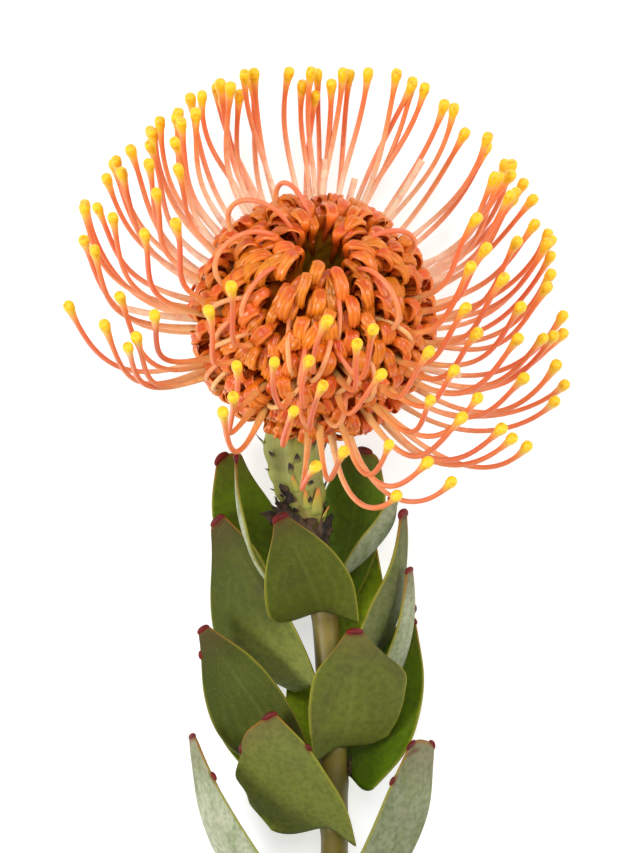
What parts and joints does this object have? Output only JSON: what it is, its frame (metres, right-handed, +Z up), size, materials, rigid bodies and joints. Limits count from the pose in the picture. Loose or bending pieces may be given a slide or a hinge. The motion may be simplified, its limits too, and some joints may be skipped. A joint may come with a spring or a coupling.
{
  "type": "pincushion protea flower",
  "caption": "Cut pincushion protea laid on its side: an open head of hooked styles with round tips over rolled-back florets, on a scaly stalk with leathery, red-toothed leaves.",
  "frame": {"origin": "on the table, in the small flat spot that the flower head lies on, straight under the head's centre", "axes": "+Z up from the table; +Y along the table from the cut end of the stem towards the head; +X to the right"},
  "size_m": [0.1097, 0.2015, 0.0773],
  "materials": {
    "stem": "matt, scaly under the head",
    "flower": "soft satin",
    "leaf": "matt, finely felted"
  },
  "bodies": {
    "root": {"stem": "stem", "flower_head": "flower", "leaf_01": "leaf", "leaf_02": "leaf", "leaf_03": "leaf", "leaf_04": "leaf", "leaf_05": "leaf", "leaf_06": "leaf", "leaf_07": "leaf", "leaf_08": "leaf", "leaf_09": "leaf", "leaf_10": "leaf", "leaf_11": "leaf", "leaf_12": "leaf", "leaf_13": "leaf", "leaf_14": "leaf", "leaf_15": "leaf", "leaf_16": "leaf", "leaf_17": "leaf"}
  },
  "joints": []
}
